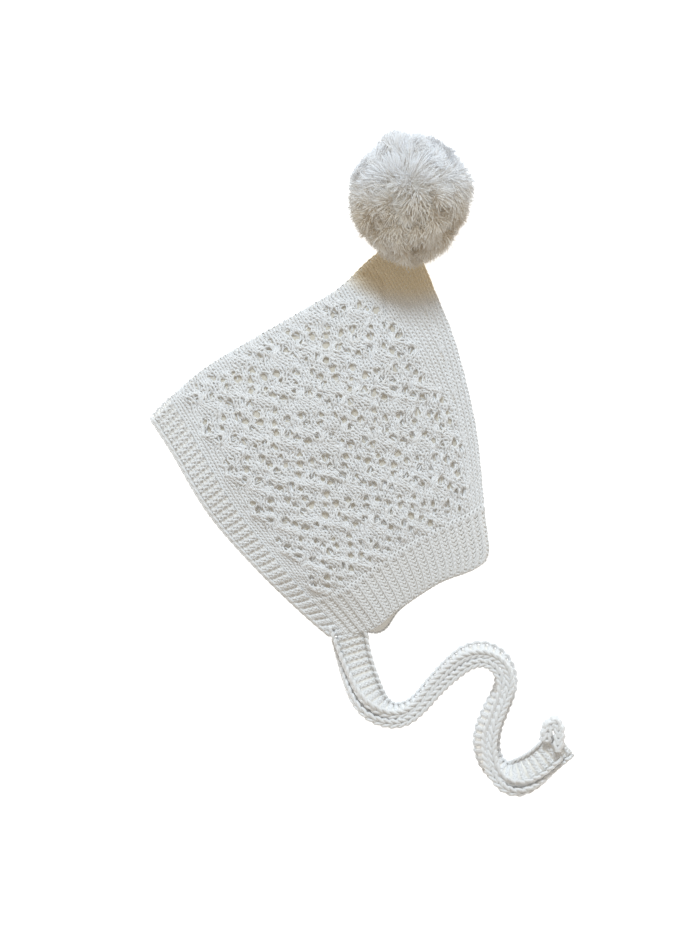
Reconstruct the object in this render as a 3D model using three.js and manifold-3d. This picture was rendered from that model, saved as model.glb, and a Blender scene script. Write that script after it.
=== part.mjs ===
// A baby's knitted bonnet with a pointed crown, lying folded flat on its side.
// Millimetres, +Z up. It lies on the plane z = 0. The origin is under the middle of the
// bonnet without its ties: +X points to the back of the head and +Y to the pompom.
import * as THREE from 'three';
import * as BufferGeometryUtils from 'three/addons/utils/BufferGeometryUtils.js';
import Module from 'manifold-3d';

const wasm = await Module();
wasm.setup();

// ---- driving dimensions ----
const cloth = { wall: 2.6, edging: 3.2, rib: 3.0 };   // thickness of each kind of knitting
const gapBetween = 0.4;      // between neighbouring pieces
const bendRadius = 3.4;      // outer radius of the fold and of the back seam
const restGap = 0.6;         // between the two inner faces where the layers meet
const fullGap = 15;          // between the two inner faces in the middle of the crown
const edgingWidth = 12;      // garter edging along the face
const ribDepth = 26;         // ribbed neck
const faceLength = 160;      // from the top fold to the neck, along the face
const middleWidth = 140;     // from the face to the back seam, half way down
// How far the under layer's neck edge shows past the upper one: most of it just behind the ties.
const underPeek = { all: 1, most: 3.4, at: 0.3, spread: 0.09, from: 0.19 };
const pompom = { x: 49, y: 101.3, wide: 67.5, long: 76.9, tall: 56 };
const tie = { width: 16, rootWidth: 21, flareShare: 0.12, thick: 3.2, edgeRound: 0.9 };

// ---- outline of the folded bonnet, from above ----
const faceTop = { x: -94.3, y: -18 };
const faceFoot = { x: 5.2, y: -138.4 };
const tip = { x: 49.8, y: 88 };
const heel = { x: 92.6, y: -96.6 };

const foldEdge = curve([
  faceTop,
  { x: -64, y: 9.4 },
  { x: -14.6, y: 38.8 },
  { x: 10.2, y: 54 },
  { x: 27, y: 69.5 },
  tip,
]);
const backEdge = curve([
  tip,
  { x: 64.6, y: 52 },
  { x: 76.4, y: 22 },
  { x: 86.8, y: -22 },
  { x: 91.4, y: -66 },
  { x: 94.2, y: -88 },
  heel,
]);
const faceEdge = curve([
  faceTop,
  { x: -82, y: -36.6 },
  { x: -61, y: -71.2 },
  { x: -35.5, y: -100.4 },
  { x: -10.7, y: -124.6 },
  faceFoot,
]);
const neckEdge = curve([
  faceFoot,
  { x: 28, y: -134.8 },
  { x: 44, y: -122.6 },
  { x: 65.4, y: -108.6 },
  { x: 84, y: -101.6 },
  heel,
]);

// ---- routes of the ties: middle of the strap, its bank from lying flat, and what it lies on ----
const upperTieRoute = [
  { x: 16.9, y: -138.8, lift: 7.6, bank: 0 },
  { x: 19.2, y: -147.0, lift: 6.2, bank: 3 },
  { x: 23.0, y: -158.4, lift: 4.9, bank: 14 },
  { x: 27.8, y: -169.4, lift: 4.2, bank: 36 },
  { x: 33.4, y: -176.4, lift: 2.2, bank: 59 },
  { x: 40.4, y: -179.9, lift: 0.2, bank: 71 },
  { x: 47.6, y: -178.8, lift: 0.2, bank: 74 },
  { x: 54.2, y: -174.1, lift: 0.2, bank: 78 },
  { x: 63.0, y: -163.6, lift: 0.2, bank: 80 },
  { x: 72.9, y: -153.5, lift: 0.2, bank: 78 },
  { x: 81.1, y: -147.9, lift: 0.2, bank: 73 },
  { x: 89.9, y: -146.4, lift: 0.2, bank: 70 },
  { x: 97.6, y: -149.3, lift: 0.2, bank: 72 },
  { x: 102.8, y: -154.8, lift: 0.2, bank: 77 },
  { x: 105.1, y: -162.3, lift: 0.2, bank: 80 },
  { x: 104.2, y: -170.0, lift: 0.2, bank: 80 },
  { x: 100.4, y: -179.8, lift: 0.2, bank: 80 },
  { x: 96.7, y: -189.8, lift: 0.2, bank: 80 },
  { x: 95.5, y: -200.2, lift: 0.2, bank: 78 },
  { x: 98.0, y: -209.0, lift: 0.4, bank: 70 },
  { x: 103.6, y: -213.8, lift: 1.6, bank: 52 },
  { x: 111.0, y: -213.2, lift: 4.0, bank: 26 },
  { x: 118.8, y: -209.2, lift: 4.4, bank: 9 },
  { x: 125.4, y: -203.6, lift: 4.2, bank: 2 },
  { x: 129.2, y: -199.6, lift: 5.4, bank: 0 },
];
const lowerTieRoute = [
  { x: 16.7, y: -139.0, lift: 0, bank: 0 },
  { x: 18.2, y: -147.6, lift: 0, bank: 2 },
  { x: 20.6, y: -159.4, lift: 0, bank: 12 },
  { x: 24.2, y: -172.4, lift: 0, bank: 34 },
  { x: 30.4, y: -181.2, lift: 0, bank: 60 },
  { x: 40.0, y: -185.8, lift: 0, bank: 78 },
  { x: 48.4, y: -184.6, lift: 0, bank: 84 },
  { x: 56.2, y: -178.6, lift: 0, bank: 85 },
  { x: 66.0, y: -167.6, lift: 0, bank: 83 },
  { x: 75.0, y: -159.4, lift: 0, bank: 82 },
  { x: 82.8, y: -154.2, lift: 0, bank: 82 },
  { x: 89.9, y: -153.0, lift: 0, bank: 84 },
  { x: 95.4, y: -156.2, lift: 0, bank: 88 },
  { x: 98.6, y: -162.2, lift: 0, bank: 93 },
  { x: 97.8, y: -169.4, lift: 0, bank: 101 },
  { x: 93.5, y: -178.8, lift: 0, bank: 107 },
  { x: 89.1, y: -190.6, lift: 0, bank: 108 },
  { x: 88.6, y: -200.6, lift: 0, bank: 107 },
  { x: 92.0, y: -211.6, lift: 0, bank: 97 },
  { x: 99.4, y: -220.2, lift: 0, bank: 84 },
  { x: 108.2, y: -221.2, lift: 0, bank: 58 },
  { x: 116.4, y: -215.6, lift: 0, bank: 23 },
  { x: 123.5, y: -208.8, lift: 0, bank: 6 },
  { x: 130.1, y: -203.0, lift: 0, bank: 0 },
  { x: 135.3, y: -198.7, lift: 0, bank: 0 },
];

// ---- materials ----
const cotton = finish(0xf1eeea, 0.95);
const cottonEdge = finish(0xf3f1ee, 0.95);
const cottonStrand = finish(0xf2ece3, 0.9);

function finish(color, roughness) {
  return new THREE.MeshStandardMaterial({ color, roughness, metalness: 0 });
}

function curve(points) {
  return new THREE.SplineCurve(points.map((p) => new THREE.Vector2(p.x, p.y)));
}

// A quarter of a sine wave: 0 at 0, and 1 from 1 on.
function swell(x) {
  return Math.sin(Math.min(1, Math.max(0, x)) * Math.PI / 2);
}

// A quarter of a circle: how far the cloth has turned at a distance from its bend.
function bendShare(distance) {
  const left = 1 - Math.min(1, Math.max(0, distance / bendRadius));
  return Math.sqrt(1 - left * left);
}

// The place on the cloth from above. s goes from the face (0) to the back seam (1),
// t from the top fold (0) to the neck (1). The four edges are blended over the patch.
function plan(s, t) {
  const fold = foldEdge.getPointAt(s);
  const neck = neckEdge.getPointAt(s);
  const face = faceEdge.getPointAt(t);
  const back = backEdge.getPointAt(t);
  const blend = (key) => (1 - t) * fold[key] + t * neck[key] + (1 - s) * face[key] + s * back[key]
    - (1 - s) * (1 - t) * faceTop[key] - s * (1 - t) * tip[key]
    - (1 - s) * t * faceFoot[key] - s * t * heel[key];
  return { x: blend('x'), y: blend('y') };
}

// The clear height inside the bonnet: it closes at the fold and the seam, is drawn in
// at the two open edges, and is least where the ties start.
function innerGap(s, t) {
  const closed = swell(t / 0.42) * swell((1 - s) / 0.42);
  const atFace = 0.62 + 0.38 * swell(s / 0.3);
  const atNeck = 0.58 + 0.42 * swell((1 - t) / 0.3);
  const nearTies = swell(1 - Math.hypot(s / 0.3, (1 - t) / 0.3));
  return restGap + fullGap * closed * atFace * atNeck * (1 - 0.45 * nearTies);
}

// The soft dent across the crown below the tip.
function tipDent(x, y) {
  const away = Math.hypot((x - 33) / 11, (y - 52) / 7);
  return -2.2 * Math.exp(-away * away);
}

// The under layer lies a little further out along the neck.
function peekAt(s) {
  const away = (s - underPeek.at) / underPeek.spread;
  const shows = swell((s - underPeek.from) / 0.07) * swell((1 - s) / 0.2);
  return (underPeek.all + underPeek.most * Math.exp(-away * away)) * shows;
}

// One point of the folded cloth. layer: 1 above, -1 below. inner: the face towards the head.
function clothPoint(s, t, layer, inner, thick) {
  const inset = inner ? thick : 0;
  const sHere = s - (inset / middleWidth) * s ** 8;
  const tHere = t + (inset / faceLength) * (1 - t) ** 8;
  const at = plan(sHere, tHere);
  const turned = bendShare(t * faceLength) * bendShare((1 - s) * middleWidth);
  const middle = thick + restGap / 2;
  const gap = innerGap(s, t);
  const floorFace = inner ? thick : 0;
  const roofFace = 2 * thick + gap + tipDent(at.x, at.y) * turned - inset;
  const target = layer > 0 ? roofFace : floorFace;
  const peek = layer < 0 ? peekAt(s) * swell((t - 0.6) / 0.4) : 0;
  return new THREE.Vector3(at.x + 0.5 * peek, at.y - 0.85 * peek, middle + (target - middle) * turned);
}

// A closed body from two grids of points: outer[i][j] and inner[i][j]. The strips close its
// edges. With a seam, the last column of each layer is shared with the other layer.
function shell(outer, inner, seam) {
  const rows = outer.length;
  const columns = outer[0].length;
  const positions = [...outer.flat(), ...inner.flat()].flatMap((p) => [p.x, p.y, p.z]);
  const o = (i, j) => i * columns + j;
  const n = (i, j) => (rows + i) * columns + j;
  const index = [];
  const quad = (a, b, c, d) => index.push(a, b, c, a, c, d);
  for (let i = 0; i < rows - 1; i += 1) {
    for (let j = 0; j < columns - 1; j += 1) {
      quad(o(i, j), o(i, j + 1), o(i + 1, j + 1), o(i + 1, j));
      quad(n(i, j), n(i + 1, j), n(i + 1, j + 1), n(i, j + 1));
    }
    quad(o(i, 0), o(i + 1, 0), n(i + 1, 0), n(i, 0));
    if (!seam) quad(o(i, columns - 1), n(i, columns - 1), n(i + 1, columns - 1), o(i + 1, columns - 1));
  }
  for (let j = 0; j < columns - 1; j += 1) {
    quad(o(0, j), n(0, j), n(0, j + 1), o(0, j + 1));
    quad(o(rows - 1, j), o(rows - 1, j + 1), n(rows - 1, j + 1), n(rows - 1, j));
  }
  return welded(positions, index);
}

function welded(positions, index) {
  const raw = new THREE.BufferGeometry();
  raw.setAttribute('position', new THREE.Float32BufferAttribute(positions, 3));
  raw.setIndex(index);
  const merged = BufferGeometryUtils.mergeVertices(raw, 0.001);
  const kept = [];
  const corners = merged.index.array;
  for (let k = 0; k < corners.length; k += 3) {
    const [a, b, c] = corners.slice(k, k + 3);
    if (a !== b && b !== c && c !== a) kept.push(a, b, c);
  }
  merged.setIndex(kept);
  merged.computeVertexNormals();
  return merged;
}

// Steps from 0 to 1, close together at the start, where the cloth bends.
function closeAtStart(count, bendEnd) {
  const bend = [0, 0.06, 0.24, 0.55, 1].map((x) => x * bendEnd);
  const rest = Array.from({ length: count }, (_, k) => bendEnd + (1 - bendEnd) * ((k + 1) / count));
  return [...bend, ...rest];
}

function between(from, to, steps) {
  return steps.map((x) => from + (to - from) * x);
}

function evenSteps(count) {
  return Array.from({ length: count + 1 }, (_, k) => k / count);
}

// ---- shares of the cloth that each piece takes ----
const edgingShare = edgingWidth / middleWidth;
const gapShare = gapBetween / middleWidth;
const ribShare = ribDepth / faceLength;
const gapDown = gapBetween / faceLength;
const bendDown = bendRadius / faceLength;
const bendAcross = bendRadius / middleWidth;

// Both layers in one go, over the fold: rows run from the upper neck to the fold and back.
function foldedPiece(sSteps, tEnd, thick, seam, count) {
  const down = closeAtStart(count, bendDown / tEnd).map((x) => x * tEnd);
  const rows = [
    ...down.slice(1).reverse().map((t) => ({ t, layer: 1 })),
    { t: 0, layer: 1 },
    ...down.slice(1).map((t) => ({ t, layer: -1 })),
  ];
  const grid = (inner) => rows.map((r) => sSteps.map((s) => clothPoint(s, r.t, r.layer, inner, thick)));
  return shell(grid(false), grid(true), seam);
}

function crown() {
  const start = edgingShare + gapShare;
  const across = closeAtStart(13, bendAcross).map((x) => 1 - x).reverse().map((x) => start + (1 - start) * x);
  return foldedPiece(across, 1 - ribShare - gapDown, cloth.wall, true, 15);
}

function faceEdging() {
  return foldedPiece(between(0, edgingShare, evenSteps(2)), 1, cloth.edging, false, 18);
}

// The ribbed neck goes round the back seam: rows run from the upper face to the seam and back.
function neckRib() {
  const start = edgingShare + gapShare;
  const across = closeAtStart(13, bendAcross).map((x) => 1 - x * (1 - start));
  const rows = [
    ...across.slice(1).reverse().map((s) => ({ s, layer: 1 })),
    { s: 1, layer: 1 },
    ...across.slice(1).map((s) => ({ s, layer: -1 })),
  ];
  const down = between(1 - ribShare, 1, evenSteps(4));
  const grid = (inner) => rows.map((r) => down.map((t) => clothPoint(r.s, t, r.layer, inner, cloth.rib)));
  return shell(grid(false), grid(true), false);
}

// The outer form of the crown's tip, grown a little: it cuts the pompom's seat.
function tipForm(grow) {
  const from = 0.45;
  const sSteps = between(from, 1, closeAtStart(8, 0.05).map((x) => 1 - x).reverse());
  const tSteps = between(0, from, closeAtStart(8, 0.05));
  const anchor = new THREE.Vector3(32, 42, 0);   // inside the tip, away from its edges
  const place = (s, t, layer) => {
    const point = clothPoint(s, t, layer, false, cloth.wall).sub(anchor);
    const wider = 1 + grow / 20;
    return new THREE.Vector3(point.x * wider, point.y * wider, point.z + grow * layer).add(anchor);
  };
  const top = tSteps.map((t) => sSteps.map((s) => place(s, t, 1)));
  const bottom = tSteps.map((t) => sSteps.map((s) => place(s, t, -1)));
  return shell(bottom, top, false);
}

// A slightly lumpy ball of cut strands, flat where it rests.
function pompomBall() {
  const ball = new THREE.SphereGeometry(1, 40, 28);
  ball.rotateX(Math.PI / 2);
  const at = ball.getAttribute('position');
  for (let k = 0; k < at.count; k += 1) {
    const p = new THREE.Vector3().fromBufferAttribute(at, k);
    const turn = Math.atan2(p.y, p.x);
    const fromAxis = Math.hypot(p.x, p.y);
    const lump = 0.985 + 0.015 * Math.sin(3 * turn + 2 * p.z) * fromAxis + 0.008 * Math.sin(7 * turn) * fromAxis;
    const z = Math.max(0, (p.z * lump * pompom.tall) / 2 + pompom.tall / 2 - 1);
    at.setXYZ(k, (p.x * lump * pompom.wide) / 2, (p.y * lump * pompom.long) / 2, z);
  }
  ball.deleteAttribute('normal');
  ball.deleteAttribute('uv');
  const closed = welded(Array.from(at.array), Array.from(ball.index.array));
  closed.translate(pompom.x, pompom.y, 0);
  return closed;
}

function solid(geometry) {
  const mesh = new wasm.Mesh({
    numProp: 3,
    vertProperties: new Float32Array(geometry.getAttribute('position').array),
    triVerts: new Uint32Array(geometry.index.array),
  });
  return new wasm.Manifold(mesh);
}

function fromSolid(body) {
  const mesh = body.getMesh();
  return welded(Array.from(mesh.vertProperties), Array.from(mesh.triVerts));
}

function cutPompom() {
  return fromSolid(solid(pompomBall()).subtract(solid(tipForm(gapBetween))));
}

// The places along a route, with one more half way between each two of its rows.
function stations(route) {
  const spots = route.map((r) => new THREE.Vector3(r.x, r.y, 0));
  const line = new THREE.CatmullRomCurve3(spots, false, 'centripetal');
  const count = 2 * (route.length - 1);
  return Array.from({ length: count + 1 }, (_, k) => {
    const before = route[Math.floor(k / 2)];
    const after = route[Math.ceil(k / 2)];
    return {
      middle: line.getPoint(k / count),
      run: line.getTangent(k / count).normalize(),
      lift: (before.lift + after.lift) / 2,
      bank: THREE.MathUtils.degToRad((before.bank + after.bank) / 2),
      fromRoot: k / count,
    };
  });
}

// A flat strap along its route: an eight-sided section, banked about the way it runs.
function strap(route) {
  const up = new THREE.Vector3(0, 0, 1);
  const flat = tie.thick / 2;
  const rings = stations(route).map(({ middle, run, lift, bank, fromRoot }) => {
    const right = new THREE.Vector3().crossVectors(run, up);
    const wide = right.clone().multiplyScalar(Math.cos(bank)).addScaledVector(up, Math.sin(bank));
    const high = right.clone().multiplyScalar(-Math.sin(bank)).addScaledVector(up, Math.cos(bank));
    const flare = Math.max(0, 1 - fromRoot / tie.flareShare);
    const half = (tie.width + (tie.rootWidth - tie.width) * flare) / 2;
    const rise = half * Math.abs(Math.sin(bank)) + flat * Math.abs(Math.cos(bank)) + lift;
    const centre = middle.clone().addScaledVector(up, rise);
    const near = tie.edgeRound;
    const section = [
      [half, flat - near], [half - near, flat], [near - half, flat], [-half, flat - near],
      [-half, near - flat], [near - half, -flat], [half - near, -flat], [half, near - flat],
    ];
    return section.map(([a, b]) => centre.clone().addScaledVector(wide, a).addScaledVector(high, b));
  });
  return tube(rings);
}

function tube(rings) {
  const sides = rings[0].length;
  const positions = rings.flat().flatMap((p) => [p.x, p.y, p.z]);
  const index = [];
  for (let i = 0; i < rings.length - 1; i += 1) {
    for (let j = 0; j < sides; j += 1) {
      const a = i * sides + j;
      const b = i * sides + ((j + 1) % sides);
      index.push(a, a + sides, b, b, a + sides, b + sides);
    }
  }
  const last = (rings.length - 1) * sides;
  for (let j = 1; j < sides - 1; j += 1) {
    index.push(0, j, j + 1);
    index.push(last, last + j + 1, last + j);
  }
  return welded(positions, index);
}

function named(name, geometry, material) {
  const mesh = new THREE.Mesh(geometry, material);
  mesh.name = name;
  return mesh;
}

const bonnet = new THREE.Group();
bonnet.add(named('crown', crown(), cotton));
bonnet.add(named('face_edging', faceEdging(), cottonEdge));
bonnet.add(named('neck_rib', neckRib(), cottonEdge));
bonnet.add(named('pompom', cutPompom(), cottonStrand));
bonnet.add(named('upper_tie', strap(upperTieRoute), cottonEdge));
bonnet.add(named('lower_tie', strap(lowerTieRoute), cottonEdge));

export default bonnet;
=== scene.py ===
# A baby's knitted lace bonnet with a pointed crown, a pompom and two ties, folded flat on its
# side. Every stitch is a loop of yarn. The cloth's outline is the same as the solid model's.
import math

import bpy
import numpy as np
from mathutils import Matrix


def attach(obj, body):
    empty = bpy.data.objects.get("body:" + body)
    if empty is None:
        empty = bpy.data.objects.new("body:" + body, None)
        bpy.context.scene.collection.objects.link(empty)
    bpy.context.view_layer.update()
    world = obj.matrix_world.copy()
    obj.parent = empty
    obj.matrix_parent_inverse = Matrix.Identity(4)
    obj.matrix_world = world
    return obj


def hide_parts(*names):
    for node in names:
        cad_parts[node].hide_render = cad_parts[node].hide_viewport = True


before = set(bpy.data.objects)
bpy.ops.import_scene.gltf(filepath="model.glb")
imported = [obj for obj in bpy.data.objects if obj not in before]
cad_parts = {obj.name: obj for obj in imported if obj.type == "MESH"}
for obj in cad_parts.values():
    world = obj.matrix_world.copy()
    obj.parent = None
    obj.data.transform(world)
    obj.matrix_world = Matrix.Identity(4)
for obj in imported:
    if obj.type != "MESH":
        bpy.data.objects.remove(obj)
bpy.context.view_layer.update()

mm = 0.001
rng = np.random.default_rng(21)

# the camera looks straight down through a long lens
view = dict(x=16.8 * mm, y=-44.8 * mm, focusHeight=9 * mm, tall=512 * mm, lens=200.0, sensor=36.0,
            near=0.1, far=20.0)


def makeCamera():
    data = bpy.data.cameras.new("overhead")
    data.lens, data.sensor_width = view["lens"], view["sensor"]
    data.clip_start, data.clip_end = view["near"], view["far"]
    camera = bpy.data.objects.new("overhead", data)
    away = view["tall"] / 2 / (view["sensor"] / 2 / view["lens"])
    camera.location = (view["x"], view["y"], view["focusHeight"] + away)
    bpy.context.scene.collection.objects.link(camera)
    bpy.context.scene.camera = camera


makeCamera()
print("camera ready")


def catmullRom(points, share):
    # points on a smooth line through the given ones, at shares 0 to 1 of its count of points
    points = np.asarray(points, float)
    last = len(points) - 1
    place = np.clip(share, 0, 1) * last
    k = np.minimum(place.astype(int), last - 1)
    f = (place - k)[..., None]
    before, here = points[np.maximum(k - 1, 0)], points[k]
    there, after = points[k + 1], points[np.minimum(k + 2, last)]
    a, b = (there - before) / 2, (after - here) / 2
    return here + a * f + (3 * (there - here) - 2 * a - b) * f ** 2 + (2 * (here - there) + a + b) * f ** 3


def evenLine(points, samples=1500):
    # the same line as a function of the share of its length
    line = catmullRom(points, np.linspace(0, 1, samples))
    run = np.concatenate([[0], np.cumsum(np.linalg.norm(np.diff(line, axis=0), axis=1))])
    return lambda share: np.stack([np.interp(share, run / run[-1], line[:, k]) for k in (0, 1)], -1)


def swell(x):
    # steep at 0 and level at 1
    return np.sin(np.clip(x, 0, 1) * np.pi / 2)


def smooth(x):
    # level at 0 and at 1
    x = np.clip(x, 0, 1)
    return x * x * (3 - 2 * x)


def unit(vectors):
    return vectors / np.linalg.norm(vectors, axis=-1, keepdims=True)


def bump(x, middle, spread):
    # 1 at its middle, falling away on both sides
    return np.exp(-((x - middle) / spread) ** 2)


def ripple(c, r, *waves):
    # a sum of waves over columns and rows; each wave says how it runs along both, and its start
    return sum(np.sin(across * c + down * r + start) for across, down, start in waves)


def gridFaces(across, down):
    # quads over a sheet of points that is across cells wide and down cells long
    k = (np.arange(down)[:, None] * (across + 1) + np.arange(across)).ravel()
    return np.stack([k, k + 1, k + across + 2, k + across + 1], -1)


def ringFaces(around, rings):
    # quads between rings of points that close on themselves
    first = np.arange(rings - 1)[:, None] * around
    k = (first + np.arange(around)).ravel()
    after = (first + (np.arange(around) + 1) % around).ravel()
    return np.stack([k, k + around, after + around, after], -1)


def meshFrom(name, points, faces, attributes=(), uv=None):
    # faces: an array of quads; attributes: values kept on the points
    faces = np.asarray(faces, np.int32)
    data = bpy.data.meshes.new(name)
    data.vertices.add(len(points))
    data.vertices.foreach_set("co", np.asarray(points, np.float32).ravel())
    data.loops.add(faces.size)
    data.loops.foreach_set("vertex_index", faces.ravel())
    data.polygons.add(len(faces))
    data.polygons.foreach_set("loop_start", np.arange(0, faces.size, faces.shape[1], dtype=np.int32))
    data.polygons.foreach_set("use_smooth", np.ones(len(faces), bool))
    if uv is not None:
        layer = data.uv_layers.new(name="yarnMap")
        layer.data.foreach_set("uv", np.asarray(uv, np.float32)[faces.ravel()].ravel())
    for title, values in dict(attributes).items():
        layer = data.attributes.new(title, "FLOAT", "POINT")
        layer.data.foreach_set("value", np.asarray(values, np.float32))
    data.update(calc_edges=True)
    data.validate()
    made = bpy.data.objects.new(name, data)
    bpy.context.scene.collection.objects.link(made)
    return made


def tubes(lines, radius, sides, depth):
    # lines: (count, points, 3); depth: (count, points), painted shade where the yarn lies deep, kept on its
    # points
    lines = np.asarray(lines, float)
    count, length = lines.shape[:2]
    run = np.gradient(lines, axis=1)
    run /= np.maximum(np.linalg.norm(run, axis=2, keepdims=True), 1e-9)
    up = np.zeros_like(run)
    up[..., 2] = 1
    side = np.cross(run, up)
    weak = np.linalg.norm(side, axis=2, keepdims=True)         # small where the yarn runs straight up
    side = np.where(weak > 0.05, side / np.maximum(weak, 1e-9), np.array([1.0, 0, 0]))
    top = np.cross(side, run)
    top /= np.maximum(np.linalg.norm(top, axis=2, keepdims=True), 1e-9)
    turn = np.arange(sides) / sides * 2 * np.pi
    ring = np.cos(turn)[:, None] * side[:, :, None] + np.sin(turn)[:, None] * top[:, :, None]
    points = (lines[:, :, None] + radius * ring).reshape(-1, 3)
    base = (np.arange(count)[:, None, None] * length + np.arange(length - 1)[None, :, None]) * sides
    a = base + np.arange(sides)
    b = base + (np.arange(sides) + 1) % sides
    faces = np.stack([a, b, b + sides, a + sides], -1).reshape(-1, 4)
    steps = np.linalg.norm(np.diff(lines, axis=1), axis=2)
    along = np.concatenate([np.zeros((count, 1)), np.cumsum(steps, axis=1)], axis=1) / mm
    uv = np.stack([np.broadcast_to(turn / 2 / np.pi, (count, length, sides)),
                   np.broadcast_to(along[..., None], (count, length, sides))], -1).reshape(-1, 2)
    paintedShade = np.broadcast_to(np.asarray(depth, float)[..., None], (count, length, sides)).ravel()
    return points, faces, uv, paintedShade


def oneYarn(points, radius, sides, depth):
    # one yarn through the given points, radius in mm
    return tubes(points[None], radius * mm, sides, depth[None])


def joined(parts):
    points, faces, uvs, paintedShades, start = [], [], [], [], 0
    for p, f, uv, paintedShade in parts:
        points.append(p)
        faces.append(f + start)
        uvs.append(uv)
        paintedShades.append(paintedShade)
        start += len(p)
    return np.concatenate(points), np.concatenate(faces), np.concatenate(uvs), np.concatenate(paintedShades)


# painted shadow of the pompom on the crown, a warm tint round the pompom's place: it ends at its reach, and
# fades over the last of it, mm
pompomShadowPatch = dict(x=49.0, y=101.3, reach=61, fade=15)


def paintedPompomShadow(points):
    # how much of the pompom's painted shadow lies on the given points
    away = np.hypot(points[:, 0] / mm - pompomShadowPatch["x"], points[:, 1] / mm - pompomShadowPatch["y"])
    return smooth((pompomShadowPatch["reach"] - away) / pompomShadowPatch["fade"])


def yarnPiece(name, parts):
    points, faces, uv, paintedShade = joined(parts)
    points[:, 2] = np.maximum(points[:, 2], 0.0)
    made = meshFrom(name, points, faces, {"paintedShade": paintedShade, "warmShade": paintedPompomShadow(points)}, uv)
    made.data.materials.append(finishes["knit"])
    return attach(made, "root")


def plainPiece(name, points, faces, paintedShade, finish="backing"):
    paintedShade = paintedShade + np.zeros(len(points))
    made = meshFrom(name, points, faces, {"paintedShade": paintedShade}, points[:, :2] / mm)
    made.data.materials.append(finishes[finish])
    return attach(made, "root")


# colour and height of plied cotton: how fine the fuzz and the patches are, and how much each one tells; the
# twist's grooves get painted shade
yarnLook = dict(fuzzScale=2600, fuzzDetail=3, patchScale=55, patchDetail=2, twistHeight=0.5,
                twistShade=0.12, patchShade=0.25, leastRough=0.72, roughSpan=0.25, reliefHeight=0.2 * mm,
                sheenRoughness=0.5, specular=0.35)


def makeYarnGroup():
    # the twist follows the yarn's own map; painted shade kept on the points turns the colour towards Shade,
    # with random patches of tone
    group = bpy.data.node_groups.new("pliedCotton", "ShaderNodeTree")
    for title, kind in (("Fibre", "Color"), ("Shade", "Color"), ("Shade Tint", "Color"),
                        ("Plies", "Float"), ("Twist Length", "Float"), ("Fuzz", "Float")):
        group.interface.new_socket(title, in_out="INPUT", socket_type="NodeSocket" + kind)
    for title, kind in (("Colour", "Color"), ("Height", "Float"), ("Roughness", "Float")):
        group.interface.new_socket(title, in_out="OUTPUT", socket_type="NodeSocket" + kind)
    nodes, links = group.nodes, group.links
    given, made = nodes.new("NodeGroupInput"), nodes.new("NodeGroupOutput")
    yarnMap = nodes.new("ShaderNodeUVMap")
    yarnMap.uv_map = "yarnMap"
    split = nodes.new("ShaderNodeSeparateXYZ")
    links.new(yarnMap.outputs["UV"], split.inputs[0])
    space = nodes.new("ShaderNodeTexCoord")

    def maths(kind, a, b):
        node = nodes.new("ShaderNodeMath")
        node.operation = kind
        for socket, value in zip(node.inputs, (a, b)):
            if isinstance(value, (int, float)):
                socket.default_value = value
            else:
                links.new(value, socket)
        return node.outputs[0]

    def noise(scale, detail):
        node = nodes.new("ShaderNodeTexNoise")
        node.inputs["Scale"].default_value = scale
        node.inputs["Detail"].default_value = detail
        links.new(space.outputs["Object"], node.inputs["Vector"])
        return node.outputs["Fac"]

    def painted(title):
        # a value kept on the mesh's points
        node = nodes.new("ShaderNodeAttribute")
        node.attribute_name = title
        return node.outputs["Fac"]

    def mixed(share, a, b, way):
        node = nodes.new("ShaderNodeMix")
        node.data_type = "RGBA"
        node.blend_type = way
        for title, value in (("Factor", share), ("A", a), ("B", b)):
            links.new(value, node.inputs[title])
        return node.outputs["Result"]

    around = maths("MULTIPLY", split.outputs["X"], given.outputs["Plies"])
    along = maths("DIVIDE", split.outputs["Y"], given.outputs["Twist Length"])
    twist = maths("SINE", maths("MULTIPLY", maths("ADD", around, along), 2 * math.pi), 0)
    fine = noise(yarnLook["fuzzScale"], yarnLook["fuzzDetail"])
    patches = noise(yarnLook["patchScale"], yarnLook["patchDetail"])
    raised = maths("MULTIPLY", twist, yarnLook["twistHeight"])
    height = maths("ADD", raised, maths("MULTIPLY", fine, given.outputs["Fuzz"]))
    between = maths("SUBTRACT", 0.5, maths("MULTIPLY", twist, 0.5))      # 1 in the grooves of the twist
    # painted shade in the grooves of the twist
    inTwist = maths("MULTIPLY", between, yarnLook["twistShade"])
    uneven = maths("MULTIPLY", maths("SUBTRACT", patches, 0.5), yarnLook["patchShade"])
    # painted shade from the points and from the twist's grooves, changed by random patches of tone
    depth = maths("ADD", maths("ADD", painted("paintedShade"), inTwist), uneven)
    clamp = nodes.new("ShaderNodeClamp")
    links.new(depth, clamp.inputs["Value"])
    shaded = mixed(clamp.outputs[0], given.outputs["Fibre"], given.outputs["Shade"], "MIX")
    # painted warm shade: the pompom's shadow on the crown, and the shaded lower part of the pompom
    tinted = mixed(painted("warmShade"), shaded, given.outputs["Shade Tint"], "MULTIPLY")
    rough = maths("ADD", yarnLook["leastRough"], maths("MULTIPLY", fine, yarnLook["roughSpan"]))
    for title, value in (("Colour", tinted), ("Height", height), ("Roughness", rough)):
        links.new(value, made.inputs[title])
    return group


yarnGroup = makeYarnGroup()


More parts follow.
